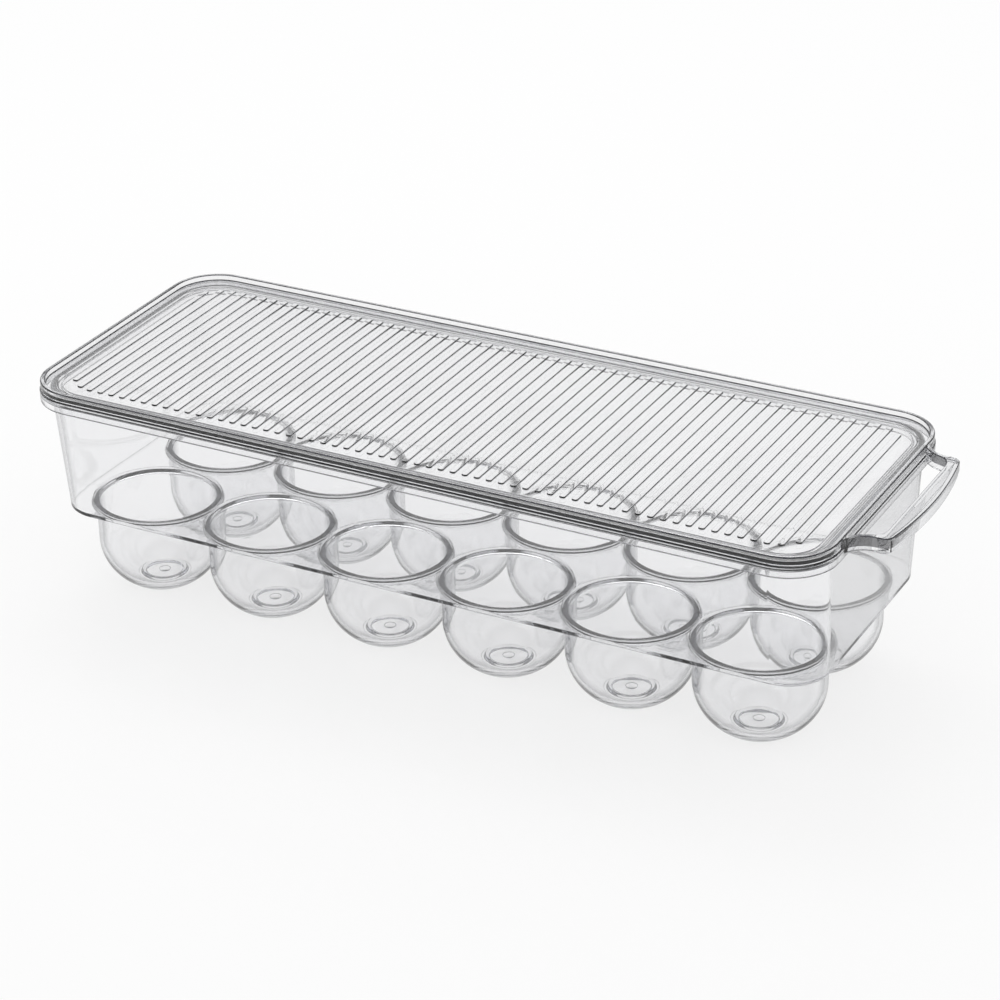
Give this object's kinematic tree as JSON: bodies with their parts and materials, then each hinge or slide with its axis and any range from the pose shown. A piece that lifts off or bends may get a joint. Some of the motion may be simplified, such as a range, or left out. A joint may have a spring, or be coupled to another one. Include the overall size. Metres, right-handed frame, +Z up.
{
  "type": "lidded egg tray",
  "caption": "Clear moulded refrigerator egg tray with a row of deep egg cups on each side, drafted walls, a ribbed lift-off lid and a bowed pull handle at one end.",
  "frame": {"origin": "centre of the bounding box in plan, at the height of the egg cups' feet", "axes": "+X along the tray towards the handle, +Y across it to the back row, +Z up"},
  "size_m": [0.3366, 0.1244, 0.0893],
  "materials": {
    "clear_plastic": "clear, polished"
  },
  "bodies": {
    "tray": {"tray_deck": "clear_plastic", "tray_wall": "clear_plastic", "tray_rim": "clear_plastic", "carry_handle": "clear_plastic", "egg_cup_front_1": "clear_plastic", "egg_cup_front_2": "clear_plastic", "egg_cup_front_3": "clear_plastic", "egg_cup_front_4": "clear_plastic", "egg_cup_front_5": "clear_plastic", "egg_cup_front_6": "clear_plastic", "egg_cup_back_1": "clear_plastic", "egg_cup_back_2": "clear_plastic", "egg_cup_back_3": "clear_plastic", "egg_cup_back_4": "clear_plastic", "egg_cup_back_5": "clear_plastic", "egg_cup_back_6": "clear_plastic"},
    "lid": {"lid_panel": "clear_plastic", "lid_locating_wall": "clear_plastic"}
  },
  "joints": [
    {"name": "lid_lift", "type": "slide", "parent": "tray", "child": "lid", "axis": [0, 0, 1], "range_m": [0, 0.12]}
  ]
}
